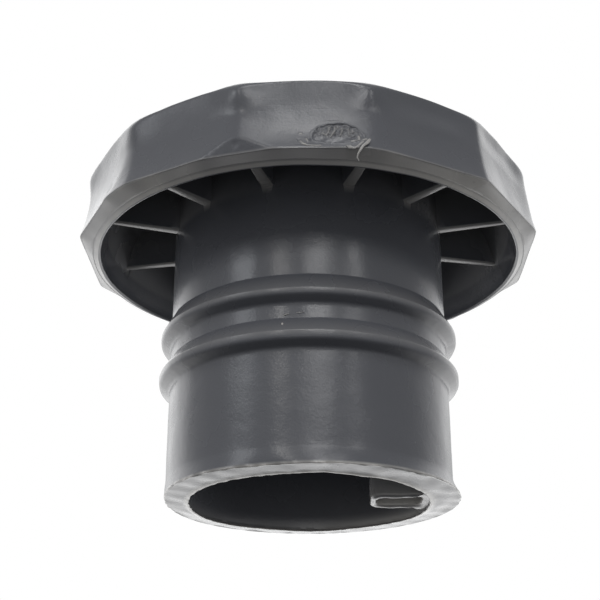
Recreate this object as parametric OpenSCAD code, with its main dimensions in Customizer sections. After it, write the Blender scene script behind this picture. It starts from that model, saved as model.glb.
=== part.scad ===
// Push-in fuel cap for the filler neck of a moped, moulded in one piece.
// A hollow stem with two sealing beads pushes into the neck. Round its upper
// end hangs the skirt of a twelve-sided grip, stiffened inside by thin webs.
// A flat-sided duct down the stem's inner wall vents the tank.
// The origin is the middle of the stem's open mouth, and +Z points to the crown.

/* [Stem] */
// Height of the cap, from the mouth to the crown
cap_h = 35.3; // [34:0.1:42]
// Outer diameter of the stem
stem_d = 29.2; // [27:0.1:29.6]
// Thickness of the stem's wall
stem_wall = 2.3; // [1.5:0.1:3]
// Outer diameter of the flared lip at the mouth
lip_d = 30.2; // [29.8:0.1:31]
// Height over which the lip flares out of the stem
lip_h = 1.7; // [1:0.1:4]

/* [Sealing beads] */
// Outer diameter over the beads, which the neck squeezes
bead_d = 31.5; // [31.2:0.1:32.5]
// Height of a bead's long slope, from its crest up to the stem
bead_up = 1.9; // [1.5:0.1:2.4]
// Height of its short slope, from the crest down to the stem
bead_down = 1.3; // [1:0.1:1.6]
// Height of the narrow level land round a bead's crest
land_h = 0.5; // [0.4:0.1:0.8]
// Height of the lowest bead's crest above the mouth
bead_z = 12.5; // [6:0.1:15]
// Distance from one bead to the next
bead_pitch = 4.4; // [4.1:0.1:6]
// Number of beads
beads = 2; // [1:1:2]

/* [Grip] */
// Number of flats round the grip
flats = 12; // [8:1:16]
// Width of the grip across the lower edges of its flats
grip_w = 48.4; // [47:0.2:54]
// Height of the grip, from the skirt's rim to the crown
grip_h = 9.1; // [8.5:0.1:11]
// Depth of the hollow that the fingers find in each flat
hollow = 0.85; // [0.3:0.05:1.2]
// Height of the deepest line of that hollow above the flat's lower edge
waist_h = 6.2; // [5:0.1:7]
// Radius of the crown's turned edge, which trims the tops of the flats
crown_r = 1.4; // [1:0.1:2.5]
// How much is rounded off each ridge between two flats
ridge_off = 0.07; // [0.03:0.01:0.2]
// Thickness of the crown
crown_t = 2; // [1.2:0.1:3]

/* [Skirt] */
// Thickness of the skirt at its rim, in from the lower edges of the flats
rim_wall = 1.6; // [1.4:0.1:2.2]
// Width of the level land round the rim's inner edge
rim_land = 0.5; // [0.2:0.1:0.7]
// Height of the bevel from that land up to the flats
bevel_h = 1; // [0.6:0.1:1.4]
// Width of the ledge between the bevel and the flats
ledge = 0.12; // [0.05:0.01:0.4]
// How far the skirt's inner face leans in on its way up to the crown
skirt_lean = 2.1; // [1:0.1:3]
// Radius of the fillet between the skirt and the crown
pocket_r = 0.8; // [0.3:0.1:1.2]

/* [Webs] */
// Thickness of the webs between stem and skirt, one under each ridge
web_t = 0.9; // [0.6:0.1:1.6]
// Distance of the webs' lower edges above the rim
web_up = 2.6; // [1.5:0.1:4]

/* [Vent] */
// Width of the duct round the stem's inner wall
duct_t = 5.2; // [3:0.1:6]
// Distance that the duct stands in from the stem's inner wall
duct_in = 6.1; // [4:0.1:8]
// Thickness of the duct's walls
duct_wall = 0.85; // [0.6:0.05:1.1]
// Radius of the duct's two outer corners
duct_corner = 1.3; // [1.2:0.1:1.4]
// Radius of the fillets where the duct meets the stem
duct_r = 0.8; // [0.4:0.1:1.5]
// Distance of the duct's end above the mouth
duct_up = 0.2; // [0.1:0.1:2]
// Diameter of the hole from the duct out under the crown
vent_d = 1.4; // [0.8:0.1:2]

/* [Hidden] */
$fn = 96;
overlap = 0.5;              // how far one feature is sunk into another
stem_r = stem_d / 2;
cup_r = stem_r - stem_wall;
lip_r = lip_d / 2;
bead_r = bead_d / 2;
rim_r = grip_w / 2 - rim_wall;
pocket_top_r = rim_r - skirt_lean;
ceiling_z = cap_h - crown_t;
rim_z = cap_h - grip_h;
flat_z = rim_z + bevel_h;   // lower edge of the flats
waist_z = flat_z + waist_h;
web_z = rim_z + web_up;
half_turn = 180 / flats;    // from the middle of a flat to its ridge
vent_z = ceiling_z - pocket_r - vent_d / 2;

// Radius of the arc that rises by h while it moves sideways by w
function arc_r(h, w) = (h * h + w * w) / (2 * w);

// Half-section of the turned blank of the grip: waisted like the flats that
// are cut into it, and just inside their ridges
module blank_section() {
    r = grip_w / 2 / cos(half_turn) - ridge_off;
    d = hollow / cos(half_turn);
    a = arc_r(waist_h, d);
    edge_z = cap_h - crown_r;
    edge_x = r - d + a - sqrt(a * a - (edge_z - waist_z) * (edge_z - waist_z));
    difference() {
        translate([0, flat_z]) square([r, edge_z - flat_z]);
        translate([r - d + a, waist_z]) circle(a, $fn = 360);
    }
    translate([0, flat_z]) square([edge_x - crown_r, cap_h - flat_z]);
    translate([edge_x - crown_r, edge_z]) circle(crown_r);
}

// Solid grip: the blank, with a long cylinder taken off each flat
module grip_blank() {
    a = arc_r(waist_h, hollow);
    across = grip_w * tan(half_turn);
    difference() {
        rotate_extrude() blank_section();
        for (i = [0 : flats - 1])
            rotate([0, 0, (2 * i - 1) * half_turn - 90 + half_turn])
                translate([grip_w / 2 - hollow + a, 0, waist_z])
                    rotate([90, 0, 0])
                        cylinder(h = across + 2 * overlap, r = a, center = true, $fn = 360);
    }
}

// Space under the crown, inside the skirt
module pocket_section() {
    difference() {
        polygon([
            [0, rim_z - overlap], [rim_r, rim_z - overlap], [rim_r, rim_z],
            [pocket_top_r, ceiling_z], [0, ceiling_z]
        ]);
        translate([pocket_top_r - pocket_r, ceiling_z - pocket_r])
            difference() {
                square(2 * pocket_r);
                circle(pocket_r);
            }
    }
}

// Grip with its skirt: the blank, the bevelled rim under it and the pocket
module grip() {
    difference() {
        union() {
            grip_blank();
            rotate_extrude()
                polygon([
                    [0, rim_z], [rim_r + rim_land, rim_z], [grip_w / 2 - ledge, flat_z],
                    [grip_w / 2 - overlap, flat_z + overlap], [0, flat_z + overlap]
                ]);
        }
        rotate_extrude() pocket_section();
    }
}

// Lip at the mouth, which curves out of the stem's outer face
module lip_section() {
    w = lip_r - stem_r;
    a = arc_r(lip_h, w);
    difference() {
        translate([cup_r + overlap, 0]) square([lip_r - cup_r - overlap, lip_h]);
        translate([stem_r + a, lip_h]) circle(a, $fn = 180);
    }
}

// One sealing bead: a level land round its crest, with a long slope above it and a
// short one below
module bead_section() {
    polygon([
        [stem_r - overlap, bead_up], [stem_r, bead_up],
        [bead_r, land_h / 2], [bead_r, -land_h / 2],
        [stem_r, -bead_down], [stem_r - overlap, -bead_down]
    ]);
}

// Solid stem with its lip and beads
module stem() {
    rotate_extrude() {
        square([stem_r, ceiling_z + overlap]);
        lip_section();
        for (i = [0 : beads - 1])
            translate([0, bead_z + i * bead_pitch]) bead_section();
    }
}

// Webs that tie the skirt to the stem
module webs() {
    for (i = [0 : flats - 1])
        rotate([0, 0, (2 * i + 1) * half_turn - 90])
            translate([stem_r - overlap, -web_t / 2, web_z])
                cube([rim_r - stem_r + overlap, web_t, ceiling_z + overlap - web_z]);
}

// Plan of a long hole or tongue of width t with corners of radius r, from x0 to x1
module oblong(x0, x1, t, r) {
    translate([x0, r - t / 2]) square([x1 - x0, t - 2 * r]);
    translate([x0 + r, -t / 2]) square([x1 - x0 - 2 * r, t]);
    for (x = [x0 + r, x1 - r], y = [r - t / 2, t / 2 - r]) translate([x, y]) circle(r);
}

// Plan of the duct, filleted to the stem's wall
module duct_plan() {
    y = duct_t / 2 + duct_r;
    x = sqrt((cup_r - duct_r) * (cup_r - duct_r) - y * y);
    oblong(cup_r - duct_in, cup_r + duct_t / 2, duct_t, duct_corner);
    difference() {
        translate([x, -y]) square([cup_r + overlap - x, 2 * y]);
        for (s = [-1, 1]) translate([x, s * y]) circle(duct_r);
    }
}

// The duct's walls, from just above the mouth to the crown
module duct() {
    intersection() {
        translate([0, 0, duct_up])
            linear_extrude(ceiling_z + overlap - duct_up) duct_plan();
        cylinder(h = cap_h, r = cup_r + overlap);
    }
}

// Air way: up the duct, and out through the stem's wall under the crown
module vent() {
    slot_x = cup_r - duct_wall;
    linear_extrude(vent_z + vent_d / 2)
        oblong(cup_r - duct_in + duct_wall, slot_x, duct_t - 2 * duct_wall,
            duct_corner - duct_wall);
    translate([slot_x - vent_d, 0, vent_z])
        rotate([0, 90, 0])
            cylinder(h = vent_d + duct_wall + stem_wall + overlap, d = vent_d);
}

module cap() {
    color([0.34, 0.345, 0.36])
        difference() {
            union() {
                difference() {
                    union() {
                        grip();
                        stem();
                        webs();
                    }
                    translate([0, 0, -overlap])
                        cylinder(h = ceiling_z + overlap, r = cup_r);
                }
                duct();
            }
            vent();
        }
}

cap();
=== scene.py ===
import math

import bpy
import numpy as np
from mathutils import Matrix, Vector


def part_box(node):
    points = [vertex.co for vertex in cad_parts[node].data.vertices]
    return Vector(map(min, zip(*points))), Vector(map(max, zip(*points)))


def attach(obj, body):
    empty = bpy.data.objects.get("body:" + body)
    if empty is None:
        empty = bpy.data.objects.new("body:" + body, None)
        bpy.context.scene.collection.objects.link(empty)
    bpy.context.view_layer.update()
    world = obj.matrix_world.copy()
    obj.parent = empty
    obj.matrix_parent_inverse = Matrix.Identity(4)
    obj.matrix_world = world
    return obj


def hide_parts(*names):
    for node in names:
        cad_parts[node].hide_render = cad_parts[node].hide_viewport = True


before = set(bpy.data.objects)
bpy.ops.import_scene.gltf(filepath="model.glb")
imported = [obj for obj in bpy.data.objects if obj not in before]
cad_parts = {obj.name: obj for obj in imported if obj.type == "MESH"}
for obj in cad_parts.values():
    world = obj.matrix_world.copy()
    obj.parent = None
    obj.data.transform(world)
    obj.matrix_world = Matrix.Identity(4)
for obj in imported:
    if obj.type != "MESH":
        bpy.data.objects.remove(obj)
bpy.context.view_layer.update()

scene = bpy.context.scene
scene.view_settings.view_transform = "Standard"

# The view
# The photograph is a close-up taken from a little below the open mouth, looking up
# at the cap, so the end of the stem and the inside of the skirt both show.
mm = 0.001
view_distance = 121.593 * mm          # from the middle of the mouth
view_drop = math.radians(13.536)      # the lens is this far below the mouth's plane
view_side = math.radians(0.7)         # and this far round from the front, to the right
view_pitch = math.radians(23.291)     # the lens looks up by this
view_yaw = math.radians(-1.132)       # and a little to the left
view_roll = math.radians(-0.129)
lens_mm = 70.795                      # on a sensor 36 mm wide

lens_at = view_distance * np.array([
    math.cos(view_drop) * math.sin(view_side),
    -math.cos(view_drop) * math.cos(view_side),
    -math.sin(view_drop),
])
ahead = np.array([
    math.sin(view_yaw) * math.cos(view_pitch),
    math.cos(view_yaw) * math.cos(view_pitch),
    math.sin(view_pitch),
])
level = np.cross(ahead, [0, 0, 1])
level /= np.linalg.norm(level)
upright = np.cross(level, ahead)
right = level * math.cos(view_roll) + upright * math.sin(view_roll)
up = upright * math.cos(view_roll) - level * math.sin(view_roll)

camera = bpy.data.objects.new("photo_camera", bpy.data.cameras.new("photo_camera"))
camera.data.lens = lens_mm
camera.data.sensor_width = 36
camera.data.clip_start = 5 * mm
camera.data.clip_end = 20
pose = np.eye(4)
pose[:3, :4] = np.column_stack([right, up, -ahead, lens_at])
camera.matrix_world = Matrix(pose.tolist())
scene.collection.objects.link(camera)
scene.camera = camera


# The floor
# The cap stands on a pale sheet that runs out into white. The lens is below the
# sheet, so it is clear from beneath, and it holds back no light from the cap.
def disc(name, inner, outer, rings, height, sides=96):
    """A flat disc: radii grow by equal ratios from inner to outer, times a full turn,
    and a fan closes the middle."""
    radii = inner * (outer / inner) ** np.linspace(0, 1, rings)
    turn = np.linspace(0, 2 * np.pi, sides, endpoint=False)
    r, t = np.meshgrid(radii, turn, indexing="ij")
    points = np.stack([r * np.cos(t), r * np.sin(t), np.full_like(r, height)], axis=-1)
    ring, step = np.meshgrid(np.arange(rings - 1), np.arange(sides), indexing="ij")
    after = (step + 1) % sides
    quads = np.stack([ring * sides + step, (ring + 1) * sides + step,
                      (ring + 1) * sides + after, ring * sides + after], axis=-1)
    fan = np.stack([np.full(sides, rings * sides), step[0], after[0]], axis=-1)
    mesh = bpy.data.meshes.new(name)
    mesh.from_pydata(points.reshape(-1, 3).tolist() + [(0, 0, height)], [],
                     quads.reshape(-1, 4).tolist() + fan.tolist())
    thing = bpy.data.objects.new(name, mesh)
    scene.collection.objects.link(thing)
    return thing


def pale_paper(white_from, white_to):
    """Matt pale paper that is clear from beneath. Seen by the camera, it goes over to
    plain white by a smooth step of the distance from its middle."""
    paper = bpy.data.materials.new("pale_paper")
    paper.use_nodes = True
    net = paper.node_tree
    net.nodes.clear()
    out = net.nodes.new("ShaderNodeOutputMaterial")
    matt = net.nodes.new("ShaderNodeBsdfDiffuse")
    matt.inputs["Color"].default_value = (0.86, 0.86, 0.86, 1)
    white = net.nodes.new("ShaderNodeEmission")
    white.inputs["Strength"].default_value = 1
    clear = net.nodes.new("ShaderNodeBsdfTransparent")
    place = net.nodes.new("ShaderNodeTexCoord")
    far = net.nodes.new("ShaderNodeVectorMath")
    far.operation = "LENGTH"
    fade = net.nodes.new("ShaderNodeMapRange")
    fade.interpolation_type = "SMOOTHSTEP"
    fade.inputs["From Min"].default_value = white_from
    fade.inputs["From Max"].default_value = white_to
    seen = net.nodes.new("ShaderNodeLightPath")
    both = net.nodes.new("ShaderNodeMath")
    both.operation = "MULTIPLY"
    top = net.nodes.new("ShaderNodeMixShader")
    side = net.nodes.new("ShaderNodeMixShader")
    facing = net.nodes.new("ShaderNodeNewGeometry")
    net.links.new(place.outputs["Object"], far.inputs[0])
    net.links.new(far.outputs["Value"], fade.inputs["Value"])
    net.links.new(fade.outputs["Result"], both.inputs[0])
    net.links.new(seen.outputs["Is Camera Ray"], both.inputs[1])
    net.links.new(both.outputs["Value"], top.inputs["Fac"])
    net.links.new(matt.outputs["BSDF"], top.inputs[1])
    net.links.new(white.outputs["Emission"], top.inputs[2])
    net.links.new(facing.outputs["Backfacing"], side.inputs["Fac"])
    net.links.new(top.outputs["Shader"], side.inputs[1])
    net.links.new(clear.outputs["BSDF"], side.inputs[2])
    net.links.new(side.outputs["Shader"], out.inputs["Surface"])
    return paper


floor_z = -0.55 * mm                  # just below the ragged burr of the mouth
floor = disc("floor", inner=2 * mm, outer=3.0, rings=24, height=floor_z)
floor.visible_diffuse = False
floor.visible_glossy = False
floor.visible_shadow = False
floor.data.materials.append(pale_paper(30 * mm, 150 * mm))


# The room
# White sheets stand round the back of the cap, brightest to the sides. Little light
# comes from straight below, and the camera sees plain white all round.
world = bpy.data.worlds.new("white_room")
scene.world = world
world.use_nodes = True
room = world.node_tree
room.nodes.clear()
out = room.nodes.new("ShaderNodeOutputWorld")
glow = room.nodes.new("ShaderNodeBackground")
glow.inputs["Color"].default_value = (1, 1, 1, 1)
aim = room.nodes.new("ShaderNodeTexCoord")
split = room.nodes.new("ShaderNodeSeparateXYZ")


def ramp(source, low, high, start, end):
    """A smooth step: start where the source is at low, end where it is at high."""
    step = room.nodes.new("ShaderNodeMapRange")
    step.interpolation_type = "SMOOTHSTEP"
    step.inputs["From Min"].default_value = low
    step.inputs["From Max"].default_value = high
    step.inputs["To Min"].default_value = start
    step.inputs["To Max"].default_value = end
    room.links.new(source, step.inputs["Value"])
    return step.outputs["Result"]


def product(a, b):
    """Two values of the room's nodes, multiplied."""
    times = room.nodes.new("ShaderNodeMath")
    times.operation = "MULTIPLY"
    room.links.new(a, times.inputs[0])
    room.links.new(b, times.inputs[1])
    return times.outputs["Value"]


# Each value below is a share of the room's light, by the direction it comes from: +X is
# to the right, +Y behind the cap, and +Z up.
room.links.new(aim.outputs["Generated"], split.inputs["Vector"])
to_right, to_back, to_top = split.outputs["X"], split.outputs["Y"], split.outputs["Z"]
sheets = ramp(to_back, 0.1, 0.65, 0.52, 2.1)
straight_back = ramp(to_back, 0.78, 0.95, 0.0, 0.5)
above = ramp(to_top, -0.1, 0.25, 0.0, 1.0)
dimmed = ramp(product(straight_back, above), 0.0, 0.5, 1.0, 0.5)
right_side = ramp(to_right, -0.2, 0.5, 0.0, 1.0)
right_less = ramp(product(right_side, above), 0.0, 1.0, 1.0, 0.76)
under = ramp(to_top, -0.42, -0.75, 1.0, 0.22)
from_front = ramp(to_back, 0.5, 0.1, 0.0, 1.0)
below = ramp(to_top, 0.0, -0.4, 0.0, 1.0)
low_front = ramp(product(from_front, below), 0.0, 1.0, 1.0, 0.56)
low_back = ramp(product(straight_back, below), 0.0, 0.5, 1.0, 0.78)
light = product(product(product(sheets, dimmed), product(under, right_less)), product(low_front, low_back))
seen = room.nodes.new("ShaderNodeLightPath")
pick = room.nodes.new("ShaderNodeMix")
pick.data_type = "FLOAT"
room.links.new(seen.outputs["Is Camera Ray"], pick.inputs["Factor"])
room.links.new(light, pick.inputs["A"])
pick.inputs["B"].default_value = 1
room.links.new(pick.outputs["Result"], glow.inputs["Strength"])
room.links.new(glow.outputs["Background"], out.inputs["Surface"])


# The lamps
# Soft panels hang in front of the cap and over it. Their reflections are the upright
# streaks on the stem and the pale patches on the grip.
def soft_panel(name, azimuth, elevation, width, height, radiance, colour=(1, 1, 1)):
    """A flat lamp that faces the cap, turned from the front by azimuth and up by
    elevation, in degrees. Its power is pi times its area times its radiance."""
    distance, middle_z = 0.6, 15 * mm
    a, e = math.radians(azimuth), math.radians(elevation)
    lamp = bpy.data.lights.new(name, "AREA")
    lamp.shape = "RECTANGLE"
    lamp.size, lamp.size_y = width, height
    lamp.energy = math.pi * width * height * radiance
    lamp.color = colour
    thing = bpy.data.objects.new(name, lamp)
    thing.location = (distance * math.sin(a) * math.cos(e),
                      -distance * math.cos(a) * math.cos(e),
                      distance * math.sin(e) + middle_z)
    thing.rotation_euler = (math.radians(90) - e, 0, a)
    thing.visible_camera = False
    scene.collection.objects.link(thing)


soft_panel("left_panel", -53, 25, 0.19, 0.14, 3.0, colour=(0.93, 0.96, 1.0))
soft_panel("small_panel", -21, 25, 0.045, 0.14, 7.5, colour=(1.0, 0.98, 0.95))
soft_panel("middle_panel", 9, 25, 0.19, 0.14, 4.9)
soft_panel("right_panel", 38, 25, 0.10, 0.14, 3.2)
soft_panel("high_panel", 2, 44, 0.12, 0.09, 6.0)
soft_panel("top_strip", 4, 51, 0.42, 0.10, 2.6)
soft_panel("low_fill", 2, -18, 0.30, 0.16, 0.7)


# The moulding
# The cap is one shot of grey polyethylene. Its skirt and its stem hang from the crown,
# and thin webs tie them. Flash stands round its mouth, and its gate was torn off.

# Sizes are in millimetres, and heights count from the mouth.
corner_low, corner_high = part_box("cap")
grip_w = (corner_high.x - corner_low.x) / mm
cap_h = (corner_high.z - corner_low.z) / mm
flats = 12
half_turn = math.pi / flats           # from the middle of a flat to its ridge
stem_r = 14.6
cup_r = 12.3
lip_h = 1.9
lip_out = 0.44                        # how far the lip stands out of the stem
lip_round = 0.065                     # radius of its outer edge
lip_edge_at = (14.975, 0.13)          # middle of that rounding, as (radius, height)
mouth_from = (14.94, 0.065)           # where the mouth's face starts under it
bead_rs = {"high": 15.68, "low": 15.75}
bead_heights = {"high": 16.88, "low": 12.5}
bead_ups = {"high": 2.0, "low": 1.85}       # from the crest up to the stem
bead_downs = {"high": 1.2, "low": 1.4}      # and down to it
rim_z = cap_h - 9.1
flat_z = rim_z + 1.0                  # lower edge of the flats
edge_round = 0.09                     # radius of that edge
waist_z = flat_z + 6.2                # where the flats are hollowed most
hollow = 0.85
flat_sweep = 23.04                    # radius of the hollow in a flat
blank_waist = 24.104                  # over the ridges, at their slimmest
blank_sweep = 22.281                  # radius of the ridges' hollow
crown_round = 1.4
crown_r = 22.71                       # where the crown's rounding starts
ceiling_z = cap_h - 2
fillet = 0.5                          # between the stem and the crown
rim_r = 22.6
rim_round = 0.24
witness_r = 23.42                     # fine line round the rim, where two mould parts meet
pocket_r = 20.5
pocket_round = 0.8
web_z = rim_z + 2.6
web_top_r = rim_r - 0.66              # where the skirt passes the webs' lower edges
web_half = (0.0, 0.15, 0.29, 0.39, 0.44)    # lines along half a web, out to its side
web_root = 0.49                       # half its thickness where it leaves the wall
web_round = 0.36                      # height over which its lower edge is rounded
web_round_w = 0.46                    # and half the width of that rounding
# The webs from just right of the front, counterclockwise seen from above: how far each
# is out of its place, in degrees, and how far its outer end is lifted.
web_swing = np.array([2.2, 0.3, 1.1, -1.1, 0.4, -0.3, 0.5, -0.6, -1.2, 1.0, 0.2, -0.5])
web_lift = np.array([0.0, 0.0, 0.03, 0.0, 0.05, 0.1, 0.0, 0.1, 0.37, 0.22, 0.1, 0.0])


def line(start, end, count, power=1.0):
    """Points from start up to, but not including, end, spaced by a power of the step."""
    t = np.linspace(0, 1, count, endpoint=False)[:, None] ** power
    return np.array(start) * (1 - t) + np.array(end) * t


def arc(centre, radius, first, last, count):
    """Points round a centre: radius times the cosine and sine of angles in degrees."""
    a = np.radians(np.linspace(first, last, count))
    return np.array(centre) + radius * np.column_stack([np.cos(a), np.sin(a)])


def rounded(corners, radii, count):
    """A path through corners, with each corner between the ends rounded to its radius:
    the arc touches both sides, and its centre stands off them by the radius."""
    corners = np.array(corners)
    path = [corners[:1]]
    for before, here, after, radius in zip(corners, corners[1:], corners[2:], radii):
        back = (before - here) / np.linalg.norm(before - here)
        on = (after - here) / np.linalg.norm(after - here)
        half = math.acos(np.dot(back, on)) / 2
        centre = here + (back + on) / np.linalg.norm(back + on) * radius / math.sin(half)
        start, end = here + back * radius / math.tan(half), here + on * radius / math.tan(half)
        first = math.atan2(*(start - centre)[::-1])
        turn = math.remainder(math.atan2(*(end - centre)[::-1]) - first, 2 * math.pi)
        path.append(arc(centre, radius, math.degrees(first), math.degrees(first + turn), count))
    return np.concatenate(path + [corners[-1:]])


def bead(which):
    """Points down over a bead: from the stem down a long slope to a small corner, over
    a narrow land, and round into an underside that meets the stem in a fillet."""
    up, down, r = bead_ups[which], bead_downs[which], bead_rs[which]
    path = rounded([(stem_r, up + 0.35), (stem_r, up), (r, 0.20), (r - 0.02, 0.80 - down),
                    (stem_r, 0.27 - down), (stem_r, -down - 0.3)], [0.30, 0.30, 0.50, 0.45], 7)
    return path[1:-1] + [0, bead_heights[which]]


lip_z = np.linspace(lip_h, 0.22, 10)
lip_curve = np.column_stack([stem_r + lip_out * ((lip_h - lip_z) / (lip_h - 0.2)) ** 1.5, lip_z])
above_bead = {w: bead_heights[w] + bead_ups[w] + 0.25 for w in bead_heights}
below_bead = {w: bead_heights[w] - bead_downs[w] - 0.12 for w in bead_heights}

# The half-section, from the middle of the crown round to the middle of the cup's
# ceiling, as named stretches of (radius, height). The flats aren't round, so the radius
# of their lower edge counts from the flat, and in the bevel it is a share of the way
# out to that edge.
stretches = {
    "crown": line((0.0, cap_h), (crown_r, cap_h), 10)[1:],
    "crown_edge": arc((crown_r, cap_h - crown_round), crown_round, 90, 0, 12),
    "flat": line((blank_waist, cap_h - crown_round - 0.25), (blank_waist, flat_z + edge_round),
                 28, 0.85),
    "flat_edge": arc((0.0, flat_z + edge_round), edge_round, 0, -55, 4),
    "bevel": line((1.0, flat_z), (0.0, rim_z), 7),
    "witness": np.array([(witness_r + 0.07, rim_z + 0.345), (witness_r + 0.02, rim_z + 0.36),
                         (witness_r - 0.04, rim_z + 0.345), (witness_r - 0.10, rim_z + 0.29)]),
    "lip": np.array([(23.2, rim_z + 0.22), (23.05, rim_z + 0.135), (22.93, rim_z + 0.07)]),
    "rim_edge": arc((rim_r + rim_round, rim_z + 0.26), rim_round, -80, -180, 6),
    "skirt_low": line((rim_r - 0.02, rim_z + 0.4), (web_top_r, web_z), 5),
    "skirt_high": line((web_top_r, web_z), (pocket_r + 0.24, ceiling_z - pocket_round), 8),
    "skirt_fillet": arc((pocket_r - pocket_round + 0.1, ceiling_z - pocket_round), pocket_round,
                        0, 90, 5),
    "ceiling": line((pocket_r - pocket_round - 0.2, ceiling_z), (stem_r + fillet, ceiling_z), 5),
    "root_fillet": arc((stem_r + fillet, ceiling_z - fillet), fillet, 90, 180, 4),
    "stem_top": line((stem_r, ceiling_z - fillet - 0.3), (stem_r, web_z), 6),
    "stem_mid": line((stem_r, web_z), (stem_r, above_bead["high"]), 12),
    "bead_high": bead("high"),
    "between": line((stem_r, below_bead["high"]), (stem_r, above_bead["low"]), 3),
    "bead_low": bead("low"),
    "stem_low": line((stem_r, below_bead["low"]), (stem_r, lip_h), 12),
    "mouth_lip": lip_curve,
    "lip_edge": arc(lip_edge_at, lip_round, -5, -80, 6),
    "mouth": line(mouth_from, (cup_r + 0.42, -0.06), 12),
    "burr": np.array([(cup_r + 0.30, -0.09), (cup_r + 0.20, -0.13), (cup_r + 0.08, -0.16),
                      (cup_r - 0.03, -0.16), (cup_r - 0.08, -0.10), (cup_r - 0.05, 0.0)]),
    "cup_edge": line((cup_r, 0.14), (cup_r, 1.5), 6),
    "cup_wall": line((cup_r, 1.5), (cup_r, ceiling_z - fillet), 7),
    "cup_fillet": arc((cup_r - fillet, ceiling_z - fillet), fillet, 0, 90, 4),
    "cup_ceiling": line((cup_r - fillet - 0.5, ceiling_z), (0.0, ceiling_z), 4),
}
start, rows_of = 0, {}
for name, points in stretches.items():
    rows_of[name] = slice(start, start + len(points))
    start += len(points)
section = np.concatenate(list(stretches.values()))

# The lines of the mesh that run down the cap: close together at a web and at the ridge
# above it, and wider apart towards the middle of a flat. For each line, line_w is how
# far it runs beside the middle of the web, line_t is its share of the way on from the
# web's side to the middle of the flat, and line_side is the side.
steps = 12
spread = (np.arange(steps) / steps) ** 1.2
half_w = np.concatenate([web_half[1:], np.full(steps, web_root)])
half_t = np.concatenate([np.zeros(len(web_half) - 1), spread])
line_w = np.concatenate([[web_root], half_w[::-1], [0.0], half_w])
line_t = np.concatenate([[1.0], half_t[::-1], [0.0], half_t])
line_side = np.concatenate([-np.ones(len(half_w) + 1), [0.0], np.ones(len(half_w))])
per_flat = len(line_w)
line_w, line_t, line_side = (np.tile(a, flats) for a in (line_w, line_t, line_side))
ridge_at = np.repeat(half_turn * (2 * np.arange(flats) + 1), per_flat)
swing = np.radians(np.repeat(web_swing, per_flat))
on_web = line_w < web_root

# Across a web the section doesn't rise into the pocket but runs straight from the
# skirt to the stem along the web's lower edge, which is rounded over. The webs thicken
# towards the stem.
web_flare = 0.5                       # by this share of their thickness
radius = np.repeat(section[:, :1], len(line_w), axis=1)
height = np.repeat(section[:, 1:], len(line_w), axis=1)
across = slice(rows_of["skirt_high"].start, rows_of["stem_mid"].start + 1)
share = np.linspace(1, 0, across.stop - across.start)[:, None]
rounding = web_round * (1 - np.sqrt(1 - (line_w[on_web] / web_round_w) ** 4))
radius[across, on_web] = stem_r + (web_top_r - stem_r) * share
height[across, on_web] = web_z + rounding + np.repeat(web_lift, per_flat)[on_web] * share
wider = np.ones((len(section), 1))
wider[across] += web_flare * (1 - share)

# Round the cap, angle is counted from the front, to the right. Each line keeps its
# distance from the ridge inside the skirt, and below the webs the lines spread evenly.
# Near the axis, where that distance would be too far round, it shrinks with the radius.
shrink_r = 9.0
web_angle = np.arcsin(line_w * wider / np.maximum(radius, shrink_r))
off_ridge = line_side * (web_angle + (half_turn - web_angle) * line_t)
inside = np.zeros((len(section), 1))
inside[rows_of["rim_edge"].start:rows_of["bead_high"].start] = 1
moved = inside * swing * (1 - np.minimum(line_t * 1.5, 1))
even = np.linspace(-1, 1, per_flat, endpoint=False) * half_turn
even = np.tile(even - even[per_flat // 2], flats)
evenness = np.zeros((len(section), 1))
evenness[rows_of["stem_mid"], 0] = np.linspace(0, 1, len(stretches["stem_mid"]))
evenness[rows_of["bead_high"].start:] = 1
angle = ridge_at + (off_ridge + moved) * (1 - evenness) + even * evenness


def bell(value, middle, width):
    """One at the middle, and falling away as exp of minus the squared distance."""
    return np.exp(-((value - middle) / width) ** 2)


def turned(angle, middle):
    """Angle from a middle, both in degrees, wrapped to lie between -180 and 180."""
    return (angle - middle + 180) % 360 - 180


def at_side(azimuth, middle, width):
    """One at a middle angle round the cap and falling away to both sides, as a bell of
    the angle from that middle, in degrees."""
    return bell(turned(azimuth, middle), 0, width)


def flat_middle(z):
    """Distance from the axis to the middle of a flat, at a height: its hollow is an arc
    about a centre outside the grip."""
    return grip_w / 2 - hollow + flat_sweep - np.sqrt(flat_sweep ** 2 - (z - waist_z) ** 2)


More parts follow.
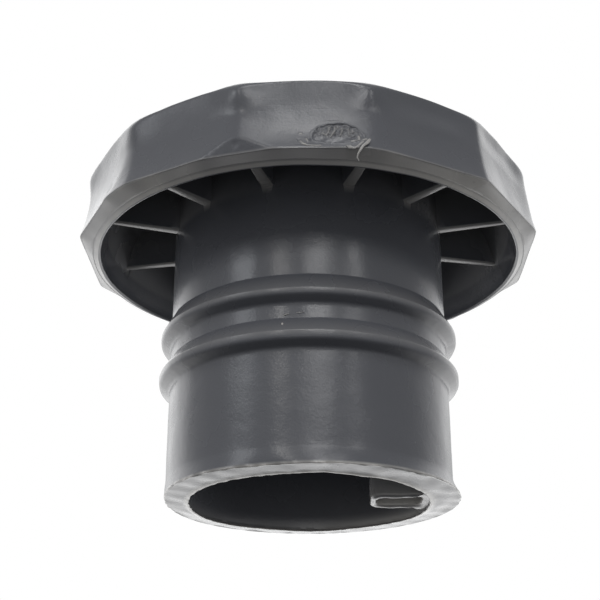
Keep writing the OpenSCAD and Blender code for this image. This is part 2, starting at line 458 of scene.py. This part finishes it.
def grip_radius(z, azimuth, off_ridge):
    """Radius of the grip at a height: the lesser of the turned blank and of a flat,
    which is its distance from the axis over the cosine of the angle from its middle.
    The two are blended over a tenth of a millimetre where they cross. At the two
    ridges of the front flat, which are worn softer, the angle from the ridge is taken
    as the root of its square and the wear's. To the left of the front, one flat is
    fuller near its lower corner, out to where the flat beside it would run on."""
    blank = blank_waist + blank_sweep - np.sqrt(blank_sweep ** 2 - (z - waist_z) ** 2)
    over = np.clip(z - (cap_h - crown_round), 0, crown_round)
    blank = np.where(over > 0, crown_r + np.sqrt(crown_round ** 2 - over ** 2), blank)
    middle = flat_middle(z)
    worn = 0.050 * at_side(azimuth, 15, 9) + 0.028 * at_side(azimuth, -15, 9)
    worn = worn * np.clip((cap_h - crown_round - z) / 2, 0, 1)
    flat = middle / np.cos(half_turn - np.sqrt(off_ridge ** 2 + worn ** 2))
    fuller = 0.74 * at_side(azimuth, -50, 7.5) + 0.28 * at_side(azimuth, -62, 8)
    fuller = fuller * (0.2 + 0.8 * np.exp(-np.clip(z - flat_z, 0, None) / 1.6))
    beside = middle / np.cos(np.radians(np.clip(turned(azimuth, -30), -40, 40)))
    meet = 0.08
    fuller_flat = (flat + fuller + beside - np.sqrt((flat + fuller - beside) ** 2 + meet ** 2)) / 2
    near_ridge = (turned(azimuth, -45) < 0) & (turned(azimuth, -45) > -18)
    beyond = flat + fuller * (turned(azimuth, -63) <= 0)
    flat = np.where(near_ridge, np.maximum(fuller_flat, flat), beyond)
    blend = 0.10
    return (blank + flat - np.sqrt((blank - flat) ** 2 + blend ** 2)) / 2


def crown_outline(z, azimuth, off_ridge):
    """How far the crown's edge stands out of the turned blank: its corners stand proud
    as the flats run up into it, and to the right of the front it is a little low. It
    fades out below the edge, by a smooth step of the height."""
    fade_z, fade_h = 31.5, 2.5
    corners = 0.24 * bell(np.degrees(off_ridge), 0, 5) + 0.14 * at_side(azimuth, -15.5, 5)
    low_side = 0.33 * np.exp(-(turned(azimuth, 52) / 33) ** 4)
    share = np.clip((z - fade_z) / fade_h, 0, 1)
    return (corners - low_side) * share ** 2 * (3 - 2 * share)


def ripple(x, y, z, wavelength, seed, waves=9):
    """Smooth unevenness between about -1 and 1: a sum of sine waves that run in
    directions drawn from a fixed seed."""
    draw = np.random.default_rng(seed)
    aim = draw.normal(size=(waves, 3))
    aim /= np.linalg.norm(aim, axis=1, keepdims=True)
    size = draw.uniform(0.7, 1.5, waves)
    phase = draw.uniform(0, 2 * np.pi, waves)
    total = sum(np.sin(2 * np.pi / (wavelength * s) * (a[0] * x + a[1] * y + a[2] * z) + p)
                for a, s, p in zip(aim, size, phase))
    return total / math.sqrt(waves)


def ring_ripple(r, angle, wavelength, seed):
    """Unevenness round the cap: the ripple at points of a circle of radius r."""
    return ripple(r * np.cos(angle), r * np.sin(angle), 0, wavelength, seed)


outer = slice(rows_of["crown_edge"].start + 1, rows_of["flat_edge"].start)
degrees = np.degrees(angle)
radius[outer] = grip_radius(height[outer], degrees[outer], off_ridge[outer])
radius[outer] += crown_outline(height[outer], degrees[outer], off_ridge[outer])
# One ridge on the right stands out a little half way up.
radius[outer] += 0.16 * at_side(degrees[outer], 75, 6) * bell(height[outer], 31.0, 2.6)

# The ridge to the left of the gate is shaved off at its lower end. There the skin lies
# on a plane that faces a little down, under a small step.
shave_reach = 8.5                     # in degrees, to each side
shave_r, shave_lean = 24.06, 0.24     # distance from the axis at the flats' lower edge, and slope
shave_step, step_h = flat_z + 1.60, 0.36    # top of the small step, and its height
off_shave = turned(degrees, -15.9)
shaved = np.abs(off_shave) < shave_reach
plane = (shave_r + shave_lean * (height[outer] - flat_z)) / np.cos(np.radians(off_shave[outer]))
chatter = 0.025 * ripple(24 * np.radians(degrees[outer]), 0, height[outer], 0.8, 21)
under_step = np.clip((shave_step - height[outer]) / step_h, 0, 1) * shaved[outer]
radius[outer] -= np.clip(radius[outer] - plane - chatter, 0, None) * under_step

# The flats' lower edge follows the flats and the shaved ridge, and the bevel under it
# runs in to the witness line by its share.
edge = rows_of["flat_edge"]
edge_r = grip_radius(np.full(len(line_w), flat_z + edge_round), degrees[edge.start], off_ridge[edge.start])
shaved_r = (shave_r + 0.02) / np.cos(np.radians(off_shave[edge.start]))
edge_r = np.where(shaved[edge.start], np.minimum(edge_r, shaved_r), edge_r)
radius[edge] += edge_r - edge_round
bevel = rows_of["bevel"]
outward = section[bevel, :1]
radius[bevel] = (edge_r - 0.07) * outward + (witness_r + 0.10) * (1 - outward)
height[bevel] = (flat_z + 0.02) * outward + (rim_z + 0.38) * (1 - outward)

# The mouth's lip flares more on the right than on the left, and is worn back on the near
# left. Its face falls to a ragged burr round the bore, which hangs lowest on the two far
# sides, and thin flash stands round its outer edge.
lip = slice(rows_of["mouth_lip"].start, rows_of["burr"].start)
flare = (0.28 * at_side(degrees[lip], 95, 50) - 0.40 * at_side(degrees[lip], -13, 17)
         - 0.36 * at_side(degrees[lip], -88, 34))
depth = np.clip((lip_h - height[lip]) / lip_h, 0, 1) ** 1.8
reach = np.clip((radius[lip] - cup_r) / (stem_r - cup_r), 0, 1.2)
radius[lip] += flare * depth * reach
tatter = ring_ripple(15, angle, 1.1, 5)
flash = rows_of["lip_edge"]
radius[flash] += 0.06 * np.clip(tatter[flash], -1, 2)
face = rows_of["mouth"]
height[face] += 0.03 * ring_ripple(radius[face], angle[face], 2.6, 8)
burr = rows_of["burr"]
end_face = slice(face.start, burr.stop + 2)
level_r = 14.4                        # outside it the face doesn't droop
inward = np.clip((level_r - radius[end_face]) / (level_r - cup_r), 0, 1)
droop = sum(low * at_side(degrees[end_face], side, width) for low, side, width in (
    (0.20, 108, 26), (0.20, -118, 28), (0.12, 58, 14), (0.10, 178, 14), (0.08, 26, 6), (-0.09, 6, 7)))
height[end_face] -= droop * inward
overhang = 0.06 + 0.10 * at_side(degrees[burr], -20, 14) + 0.05 * tatter[burr]
radius[burr] -= np.maximum(overhang, 0.0) * np.array([0.3, 0.6, 0.9, 1.0, 0.9, 0.5])[:, None]

# At the back, the bore's edge is rounded off.
bore = slice(burr.start, rows_of["cup_wall"].start + 2)
behind = 0.5 - 0.5 * np.cos(angle[bore])
radius[bore] += 0.24 * behind ** 2 * np.clip(1 - np.abs(height[bore]) / 1.5, 0, 1) ** 2

# How pale each point of the skin is made: partly plastic whitened by tearing or
# thinness, partly painted light and painted highlights. First the rim of the skirt,
# which is palest at its lip.
pale_and_painted_light = np.zeros_like(radius)
around_rim = ring_ripple(24, angle, 3.0, 15)
rim_band = slice(bevel.start, rows_of["rim_edge"].start)
pale_and_painted_light[rim_band] = 0.29 + 0.05 * around_rim[rim_band]
pale_and_painted_light[rows_of["lip"]] += 0.20
# Towards both sides the rim is made paler still: painted light from the sides.
pale_and_painted_light[rim_band] += 0.34 * at_side(degrees[rim_band], 44, 24) + 0.21 * at_side(degrees[rim_band], -42, 18)
# The flats' rounded lower edge is made pale: a painted highlight along it.
pale_and_painted_light[edge] = 0.22 + 0.15 * np.clip(around_rim[edge], 0, 1)
# Then the webs' lower edges, made pale as a painted highlight, and the pockets between
# them, made a little paler and most so towards the sides: painted light in their shade.
# The skirt's inside under the webs is made a little paler too.
pale_and_painted_light[across] += 0.42 * (line_w < web_half[-1] - 0.02)
pale_and_painted_light[across] += (0.03 + 0.17 * np.sin(angle[across]) ** 2) * ~on_web
pale_and_painted_light[rows_of["skirt_low"].start + 2:across.start] += 0.06
# Then the crests of the beads, made paler along a narrow band: a painted highlight
# along each crest.
for which in bead_heights:
    over_bead = rows_of["bead_" + which]
    pale_and_painted_light[over_bead] = 0.14 * bell(height[over_bead], bead_heights[which] + 0.15, 0.35)
# Last the mouth: its face, the flash and the burr, and the edge of the bore. The flash
# and the row just above it are pale partly as flash and partly as painted light over
# the shade on the lip's rounded edge.
patchy = ring_ripple(15, angle, 3.4, 12)
pale_and_painted_light[face] = 0.10 + 0.05 * ring_ripple(radius[face], angle[face], 1.3, 9)
pale_and_painted_light[face.start] += 0.20
pale_and_painted_light[flash] = 0.50 + 0.22 * patchy[flash] + 0.15 * np.clip(tatter[flash], 0, 1)
pale_and_painted_light[flash.start - 1] = 0.45
pale_and_painted_light[burr] = 0.35 + 0.50 * np.array([0.2, 0.8, 1.0, 1.0, 0.8, 0.2])[:, None]
# The bore's wall is made paler just above the burr, fading upwards and most towards the back right:
# painted light on the lower edge of the far wall.
wall = slice(burr.stop, rows_of["cup_wall"].start + 3)
fade_in = np.exp(-np.clip(height[wall], 0, None) / 0.6)
pale_and_painted_light[wall] = fade_in * (0.2 + 0.8 * at_side(degrees[wall], 140, 40))


def shell_from_rows(name, x, y, z, pale_and_painted_light):
    """A closed skin through a grid of points in millimetres: rows run round the part,
    and the first and the last row are each closed by a fan to their middle."""
    rows, lines = x.shape
    grid = np.stack([x, y, z], axis=-1).reshape(-1, 3)
    poles = np.stack([grid[:lines].mean(axis=0), grid[-lines:].mean(axis=0)])
    i, j = np.meshgrid(np.arange(rows - 1), np.arange(lines), indexing="ij")
    k = (j + 1) % lines
    quads = np.stack([i * lines + j, (i + 1) * lines + j,
                      (i + 1) * lines + k, i * lines + k], axis=-1).reshape(-1, 4)
    j = np.arange(lines)
    k = (j + 1) % lines
    first, last = rows * lines, rows * lines + 1
    fans = np.concatenate([
        np.column_stack([np.full(lines, first), j, k]),
        np.column_stack([np.full(lines, last), (rows - 1) * lines + k, (rows - 1) * lines + j]),
    ])
    corners = np.concatenate([quads.ravel(), fans.ravel()])
    sizes = np.concatenate([np.full(len(quads), 4), np.full(len(fans), 3)])
    points = np.concatenate([grid, poles]) * mm
    mesh = bpy.data.meshes.new(name)
    mesh.vertices.add(len(points))
    mesh.vertices.foreach_set("co", points.astype(np.float32).ravel())
    mesh.loops.add(len(corners))
    mesh.loops.foreach_set("vertex_index", corners.astype(np.int32))
    mesh.polygons.add(len(sizes))
    mesh.polygons.foreach_set("loop_start", (np.cumsum(sizes) - sizes).astype(np.int32))
    mesh.polygons.foreach_set("use_smooth", np.ones(len(sizes), bool))
    mesh.update(calc_edges=True)
    mesh.validate()
    paleness = mesh.attributes.new("pale_and_painted_light", "FLOAT", "POINT")
    paleness.data.foreach_set("value", np.concatenate([pale_and_painted_light.ravel(), [0, 0]]).astype(np.float32))
    mesh.set_sharp_from_angle(angle=math.radians(50))
    thing = bpy.data.objects.new(name, mesh)
    scene.collection.objects.link(thing)
    return thing


def swell(x, y, z):
    """Slow unevenness of the moulded skin, in millimetres: a long and a short ripple."""
    return 0.022 * ripple(x, y, z, 7.0, 3) + 0.008 * ripple(x, y, z, 2.4, 4)


x, y = radius * np.sin(angle), -radius * np.cos(angle)
uneven = swell(x, y, height)
uneven[:rows_of["crown"].stop] = 0
radius = radius + uneven * np.clip((height - 1.5) / 3, 0, 1)

# Under the torn gate the skin is sunk, because the scar lies there as a piece of its own.
scar_at = (3.08, 28.55)               # its middle, as (x, z)
scar_half_w = 2.4
scar_down, scar_up = 0.72, 1.60       # how far it reaches below and above its middle
scar_sunk = 0.40


def scar_ratio(x, z):
    """How far out a point of the front flat lies, in parts of the scar's own half-width
    and half-height, squared: 1 on the scar's edge."""
    half_height = np.where(z > scar_at[1], scar_up, scar_down)
    return ((x - scar_at[0]) / scar_half_w) ** 2 + ((z - scar_at[1]) / half_height) ** 2


at_front = np.cos(angle) > 0.9
under_scar = (scar_ratio(radius * np.sin(angle), height) < 1.0) & at_front
under_scar[:outer.start] = under_scar[outer.stop:] = False
radius[under_scar] -= scar_sunk

# Over the stem's wall, where the plastic is thick, the crown has shrunk in most.
crown = rows_of["crown"]
height[crown] -= (0.03 + 0.03 * bell(radius[crown], middle=13.4, width=1.6)
                  + 0.012 * ripple(x[crown], y[crown], 0, 9.0, 6))
x, y = radius * np.sin(angle), -radius * np.cos(angle)
moulding = shell_from_rows("cap_moulding", x, y, height, pale_and_painted_light)
weigh = moulding.modifiers.new("even_shading", "WEIGHTED_NORMAL")
weigh.keep_sharp = True
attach(moulding, "root")
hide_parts("cap")


def moulded_skin():
    """Shader group of the moulded surface: two noises for its grain and flow, a stretched
    one for fine scratches, and a slow one for its tint. Puts out a height and a tint."""
    group = bpy.data.node_groups.new("moulded_skin", "ShaderNodeTree")
    face = group.interface
    face.new_socket("Vector", in_out="INPUT", socket_type="NodeSocketVector")
    face.new_socket("Grain", in_out="INPUT", socket_type="NodeSocketFloat")
    face.new_socket("Scratches", in_out="INPUT", socket_type="NodeSocketFloat")
    face.new_socket("Height", in_out="OUTPUT", socket_type="NodeSocketFloat")
    face.new_socket("Tint", in_out="OUTPUT", socket_type="NodeSocketFloat")
    entry = group.nodes.new("NodeGroupInput")
    leave = group.nodes.new("NodeGroupOutput")

    def noise(scale, detail, source):
        """A smooth noise at the source's points: a greater scale makes it finer."""
        node = group.nodes.new("ShaderNodeTexNoise")
        node.inputs["Scale"].default_value = scale
        node.inputs["Detail"].default_value = detail
        group.links.new(source, node.inputs["Vector"])
        return node.outputs["Fac"]

    def times(a, b):
        """Two values multiplied, each a number or a socket."""
        node = group.nodes.new("ShaderNodeMath")
        node.operation = "MULTIPLY"
        for value, socket in ((a, node.inputs[0]), (b, node.inputs[1])):
            if isinstance(value, (int, float)):
                socket.default_value = value
            else:
                group.links.new(value, socket)
        return node.outputs["Value"]

    def plus(a, b):
        """Two sockets' values added."""
        node = group.nodes.new("ShaderNodeMath")
        node.operation = "ADD"
        group.links.new(a, node.inputs[0])
        group.links.new(b, node.inputs[1])
        return node.outputs["Value"]

    grain = times(noise(4200, 2, entry.outputs["Vector"]), entry.outputs["Grain"])
    flow = times(noise(700, 3, entry.outputs["Vector"]), 2.8)
    turn = group.nodes.new("ShaderNodeMapping")
    turn.inputs["Rotation"].default_value = (0.2, 0.9, 0.4)
    turn.inputs["Scale"].default_value = (0.06, 1.0, 1.0)
    group.links.new(entry.outputs["Vector"], turn.inputs["Vector"])
    fine = group.nodes.new("ShaderNodeMapRange")
    fine.inputs["From Min"].default_value = 0.66
    fine.inputs["From Max"].default_value = 0.74
    group.links.new(noise(5200, 1, turn.outputs["Vector"]), fine.inputs["Value"])
    scratch = times(times(fine.outputs["Result"], -1.0), entry.outputs["Scratches"])
    group.links.new(plus(plus(grain, flow), scratch), leave.inputs["Height"])
    group.links.new(noise(160, 4, entry.outputs["Vector"]), leave.inputs["Tint"])
    return group


skin_group = moulded_skin()


def polyethylene(name, colour, pale, roughness, grain, scratches):
    """Grey plastic: the group's height makes its bump, and the attribute read below carries
    its colour from grey towards pale: the pale of torn plastic in some places, painted
    light and painted highlights in others."""
    material = bpy.data.materials.new(name)
    material.use_nodes = True
    net = material.node_tree
    skin = net.nodes["Principled BSDF"]
    skin.inputs["IOR"].default_value = 1.5
    place = net.nodes.new("ShaderNodeTexCoord")
    surface = net.nodes.new("ShaderNodeGroup")
    surface.node_tree = skin_group
    surface.inputs["Grain"].default_value = grain
    surface.inputs["Scratches"].default_value = scratches
    net.links.new(place.outputs["Object"], surface.inputs["Vector"])
    bump = net.nodes.new("ShaderNodeBump")
    bump.inputs["Strength"].default_value = 0.4
    bump.inputs["Distance"].default_value = 0.02 * mm
    net.links.new(surface.outputs["Height"], bump.inputs["Height"])
    net.links.new(bump.outputs["Normal"], skin.inputs["Normal"])
    shade = net.nodes.new("ShaderNodeMapRange")
    shade.inputs["From Min"].default_value = 0.3
    shade.inputs["From Max"].default_value = 0.7
    shade.inputs["To Min"].default_value = roughness * 0.85
    shade.inputs["To Max"].default_value = roughness * 1.2
    net.links.new(surface.outputs["Tint"], shade.inputs["Value"])
    net.links.new(shade.outputs["Result"], skin.inputs["Roughness"])
    paleness = net.nodes.new("ShaderNodeAttribute")
    paleness.attribute_name = "pale_and_painted_light"
    tone = net.nodes.new("ShaderNodeMix")
    tone.data_type = "RGBA"
    tone.inputs["A"].default_value = (*colour, 1)
    tone.inputs["B"].default_value = (*pale, 1)
    net.links.new(paleness.outputs["Fac"], tone.inputs["Factor"])
    net.links.new(tone.outputs["Result"], skin.inputs["Base Color"])
    return material


plastic = polyethylene("grey_polyethylene", colour=(0.090, 0.094, 0.107), pale=(0.50, 0.485, 0.46),
                       roughness=0.25, grain=1.3, scratches=0.3)
moulding.data.materials.append(plastic)


# The gate
# The stub through which the plastic was fed was torn off the front flat. It left a
# rough oval scar, a few shreds beside it, and a whisker that hangs over the rim.
def evenly(points, count):
    """A closed outline through the points, as count points equally far apart along it:
    each is found by its distance from the start, on the straight lines between."""
    ring = np.concatenate([points, points[:1]])
    run = np.concatenate([[0], np.cumsum(np.linalg.norm(np.diff(ring, axis=0), axis=1))])
    at = np.linspace(0, run[-1], count, endpoint=False)
    return np.column_stack([np.interp(at, run, ring[:, 0]), np.interp(at, run, ring[:, 1])])


def near_curve(x, z, points, width):
    """One on a line through the points and falling away beside it, as exp of minus the
    squared distance over the width. The distance is the least one to any of its pieces."""
    least = np.full(x.shape, np.inf)
    for (x0, z0), (x1, z1) in zip(points, points[1:]):
        along = ((x - x0) * (x1 - x0) + (z - z0) * (z1 - z0)) / ((x1 - x0) ** 2 + (z1 - z0) ** 2)
        along = np.clip(along, 0, 1)
        least = np.minimum(least, np.hypot(x - x0 - along * (x1 - x0), z - z0 - along * (z1 - z0)))
    return np.exp(-(least / width) ** 2)


patch_at = np.array([2.72, 28.90])    # middle of the patch of skin that holds the scar, as (x, z)
patch_half = np.array([3.52, 1.56])   # its half-width and half-height
patch_points, patch_rings = 240, 52
turn = np.linspace(0, 2 * np.pi, 720, endpoint=False)
squarish = np.column_stack([np.cos(turn), np.sin(turn)])
squarish = np.sign(squarish) * np.abs(squarish) ** 0.6
patch_edge = evenly(patch_at + patch_half * squarish, patch_points)
ring_share = np.linspace(0.02, 1, patch_rings)[:, None]
x = patch_at[0] + (patch_edge[:, 0] - patch_at[0]) * ring_share
z = patch_at[1] + (patch_edge[:, 1] - patch_at[1]) * ring_share

# The scar is a shallow pit. Its upper part is the roughest and has a sharp edge, and a
# little plastic is pushed up round it.
ratio = scar_ratio(x, z) + 0.07 * ripple(x, z, 0, 0.9, 40)
in_scar = np.clip((1 - ratio) / 0.16, 0, 1)
upper = np.clip((z - 28.45) / 0.5, 0, 1)
relief = -0.07 * in_scar - 0.05 * bell(ratio, 0.90, 0.07) * upper + 0.02 * bell(ratio, 1.08, 0.08)
relief += 0.035 * in_scar * upper * ripple(x, z, 0, 0.32, 41) + 0.02 * in_scar * ripple(x, z, 0, 0.9, 42)
scar_torn = 0.05 * in_scar * upper * (1 + ripple(x, z, 0, 0.4, 43))

# Pale ridges in the scar and beside it, and last the small dark nicks: points as (x, z),
# width, height over the flat, and how much paler.
for points, width, rise, pale in (
    ([(2.32, 29.69), (2.30, 29.27), (2.05, 28.76), (1.68, 29.11)], 0.10, 0.11, 0.34),
    ([(2.84, 29.74), (2.86, 29.38), (2.59, 28.86), (2.41, 28.55)], 0.10, 0.11, 0.34),
    ([(3.09, 29.80), (3.12, 29.62)], 0.10, 0.10, 0.28),
    ([(3.49, 29.60), (3.53, 29.32), (3.36, 28.76)], 0.11, 0.12, 0.26),
    ([(4.07, 29.47), (4.12, 29.16), (4.21, 28.76)], 0.10, 0.11, 0.22),
    ([(4.50, 29.50), (4.53, 29.30), (4.48, 29.07)], 0.09, 0.07, 0.22),
    ([(5.07, 28.62), (5.09, 28.20)], 0.11, 0.10, 0.62),
    ([(4.40, 28.06), (4.80, 28.10)], 0.09, 0.08, 0.60),
    ([(5.50, 28.20), (5.80, 28.32)], 0.10, 0.08, 0.62),
    ([(-0.42, 29.05), (-0.22, 28.98)], 0.09, 0.04, 0.45),
    ([(0.20, 28.34), (0.30, 28.10)], 0.10, 0.07, 0.50),
    ([(-0.34, 28.04), (-0.10, 27.80), (0.10, 27.66)], 0.13, 0.07, 0.42),
    ([(-0.16, 27.73), (0.19, 27.56), (1.21, 27.50), (1.50, 27.52)], 0.10, 0.07, 0.50),
    ([(-0.05, 28.14), (0.00, 28.04)], 0.11, -0.12, -0.05),
    ([(0.48, 28.28), (0.56, 28.20)], 0.09, -0.10, -0.05),
    ([(-0.56, 28.26), (-0.50, 28.22)], 0.09, -0.08, -0.05),
    ([(4.75, 28.66), (4.44, 28.38)], 0.10, -0.10, -0.05),
):
    near = near_curve(x, z, points, width)
    relief += rise * near
    scar_torn += pale * near

# The patch lies on the grip and just covers the sunk skin of the moulding. Its last ring
# dips under that skin, and a flat back inside the grip closes it.
above_skin, under_skin = 0.012, 0.12
patch_back = 23.2                     # distance of the back from the axis
fading = np.clip((1 - ring_share) / 0.08, 0, 1)
azimuth = np.arctan2(x, flat_middle(z))
ground = grip_radius(z, np.degrees(azimuth), half_turn - np.abs(azimuth))
lift = swell(ground * np.sin(azimuth), -ground * np.cos(azimuth), z)
front = np.where(fading > 0, ground + lift + above_skin + relief * fading, ground - under_skin)
back = np.repeat(patch_back / np.cos(azimuth[-1:]), 2, axis=0)
distance = np.concatenate([front, back])
azimuth = np.concatenate([azimuth, azimuth[-1:], azimuth[:1]])
scar = shell_from_rows(
    "gate_scar",
    distance * np.sin(azimuth),
    -distance * np.cos(azimuth),
    np.concatenate([z, z[-1:], z[:1]]),
    np.concatenate([np.clip(scar_torn, 0, 1), np.zeros((2, patch_points))]),
)
scar.data.materials.append(plastic)
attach(scar, "root")


def shred(name, points, radii, paleness):
    """A flattened thread through points: between them its middle and its radius follow
    straight lines in equal steps, and each ring lies square to the way it runs."""
    per_step, sides, flatness = 7, 16, 0.45
    points, radii = np.array(points), np.array(radii)
    given = np.arange(len(points))
    at = np.linspace(0, given[-1], per_step * given[-1] + 1)
    middle = np.stack([np.interp(at, given, points[:, k]) for k in range(3)], axis=-1)
    middle[1:-1] = (middle[:-2] + 2 * middle[1:-1] + middle[2:]) / 4
    thick = np.interp(at, given, radii)
    thick = thick * (1 + 0.25 * ripple(middle[:, 0], middle[:, 1], middle[:, 2], 0.7, 51))
    run = np.gradient(middle, axis=0)
    run /= np.linalg.norm(run, axis=1, keepdims=True)
    wide = np.cross(run, [0.0, 1.0, 0.0])
    wide /= np.linalg.norm(wide, axis=1, keepdims=True)
    flat = np.cross(wide, run)
    turn = np.linspace(0, 2 * np.pi, sides, endpoint=False)
    ring = middle[:, None] + thick[:, None, None] * (
        wide[:, None] * np.cos(turn)[:, None] + flatness * flat[:, None] * np.sin(turn)[:, None])
    thing = shell_from_rows(name, ring[..., 0], ring[..., 1], ring[..., 2],
                            np.full(ring.shape[:2], paleness))
    thing.data.materials.append(plastic)
    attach(thing, "root")


shred("gate_whisker", [(6.08, -23.99, 28.20), (5.84, -24.14, 27.76), (5.40, -24.34, 27.30),
                       (5.16, -24.42, 26.85), (4.93, -24.36, 26.45), (4.84, -24.26, 26.12),
                       (5.02, -24.20, 25.76)],
      [0.08, 0.16, 0.11, 0.12, 0.09, 0.06, 0.02], 0.60)
shred("gate_flake", [(3.86, -24.14, 27.48), (4.15, -24.30, 27.22), (4.60, -24.40, 27.02),
                     (5.04, -24.36, 27.36), (5.46, -24.20, 27.84)],
      [0.06, 0.15, 0.13, 0.10, 0.05], 0.50)


# Flecks between the beads
# Small flecks of torn, pale plastic that stick to the cap: one on the long slope of the
# lower bead, and two thin ones on the stem just above it.
for name, points, radii, paleness in (
    ("fleck_left", [(-2.36, -15.03, 13.54), (-2.27, -15.06, 13.52), (-2.18, -15.05, 13.50)],
     [0.06, 0.11, 0.05], 0.9),
    ("fleck_long", [(-2.22, -14.44, 14.62), (-1.95, -14.54, 14.70), (-1.62, -14.56, 14.78)],
     [0.03, 0.05, 0.02], 0.6),
    ("fleck_right", [(-0.98, -14.60, 14.86), (-0.72, -14.64, 14.84), (-0.30, -14.64, 14.88)],
     [0.02, 0.04, 0.02], 0.5),
):
    shred(name, points, radii, paleness)


# The vent duct
# A flat-sided tube moulded down the inside of the stem's wall, with rounded outer
# corners and small fillets to the wall. Its end was left ragged by the mould.
duct_in = 6.1                         # how far it stands in from the wall
duct_half = 2.6                       # half its width
duct_wall = 0.85
duct_front = 0.6                      # thickness of the wall that faces the axis
duct_corner = 1.3
duct_fillet = 0.8
duct_end = -0.06                      # height of its end, between the mouth's face and its burr
in_stem = cup_r + 0.5                 # its root is sunk into the stem's wall up to here
hole_corner = 0.9
around = 200                          # points round the duct, and round its hole
inner_x = cup_r - duct_in
root_y = duct_half + duct_fillet
root_x = math.sqrt((cup_r - duct_fillet) ** 2 - root_y ** 2)
root_turn = math.degrees(math.atan2(root_y, root_x))
corner_x, corner_y = inner_x + duct_corner, duct_half - duct_corner
outside = evenly(np.concatenate([
    [(in_stem, 0.0), (in_stem, root_y)],
    arc((root_x, root_y), duct_fillet, root_turn, -90, 12),
    arc((corner_x, corner_y), duct_corner, 90, 180, 12),
    arc((corner_x, -corner_y), duct_corner, 180, 270, 12),
    arc((root_x, -root_y), duct_fillet, 90, -root_turn, 12),
    [(in_stem, -root_y)],
]), around)
hole_y = duct_half - duct_wall - hole_corner
hole_near = inner_x + duct_front + hole_corner
hole_far = cup_r - duct_wall - hole_corner
hole = evenly(np.concatenate([
    [(hole_far + hole_corner, 0.0)],
    arc((hole_far, hole_y), hole_corner, 0, 90, 8),
    arc((hole_near, hole_y), hole_corner, 90, 180, 8),
    arc((hole_near, -hole_y), hole_corner, 180, 270, 8),
    arc((hole_far, -hole_y), hole_corner, 270, 360, 8),
]), around)

# The rows run down the outside, over the rim at its end and up the inside of the hole.
# Over the rim the plan goes from the outside's outline to the hole's by shares, and the
# height falls to a rounded crest.
top_of_root, top_of_hole = ceiling_z + 0.4, ceiling_z - 0.9
down = np.concatenate([np.linspace(top_of_root, 1.2, 20), [0.7, 0.4, 0.2]])[:, None]
upward = np.concatenate([[0.2, 0.4, 0.7], np.linspace(1.2, top_of_hole, 18)])[:, None]
mix = np.array([0.10, 0.28, 0.5, 0.72, 0.90])[:, None]
ragged = ripple(outside[:, 0], outside[:, 1], 0, 2.0, 31)
near_left = np.clip((-outside[:, 1] - 0.5) / 2, 0, 1) * np.clip((11.0 - outside[:, 0]) / 2, 0, 1)
crest = duct_end + 0.03 * ragged - 0.10 * near_left * np.clip(ragged, 0, 1.5)
plan = np.concatenate([
    np.repeat(outside[None], len(down), axis=0),
    outside * (1 - mix[..., None]) + hole * mix[..., None],
    np.repeat(hole[None], len(upward), axis=0),
])
z = np.concatenate([down + 0 * crest, crest + 0.16 * (2 * mix - 1) ** 2, upward + 0 * crest])

# Its rim is pale where it is torn, most at the back. The walls outside and inside the
# hole are made paler near the rim, fading away from it: painted light in the bore and
# in the dark hole.
rim_rows = slice(len(down), len(down) + len(mix))
far_side = np.clip(outside[:, 1] + 1.2, 0, 1)
rim_pale = 0.16 + 0.22 * far_side + 0.1 * np.clip(ragged, 0, 1)
pale_and_painted_light = np.zeros_like(z)
pale_and_painted_light[:rim_rows.start] = 0.50 * np.exp(-(down - duct_end) / 2.5)
pale_and_painted_light[rim_rows] = rim_pale * np.array([0.7, 1.0, 1.0, 1.0, 0.7])[:, None]
pale_and_painted_light[rim_rows.stop:] = 0.85 * np.exp(-upward / 2.5)
duct = shell_from_rows("vent_duct", plan[..., 0], plan[..., 1], z, pale_and_painted_light)
duct.data.materials.append(plastic)
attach(duct, "root")
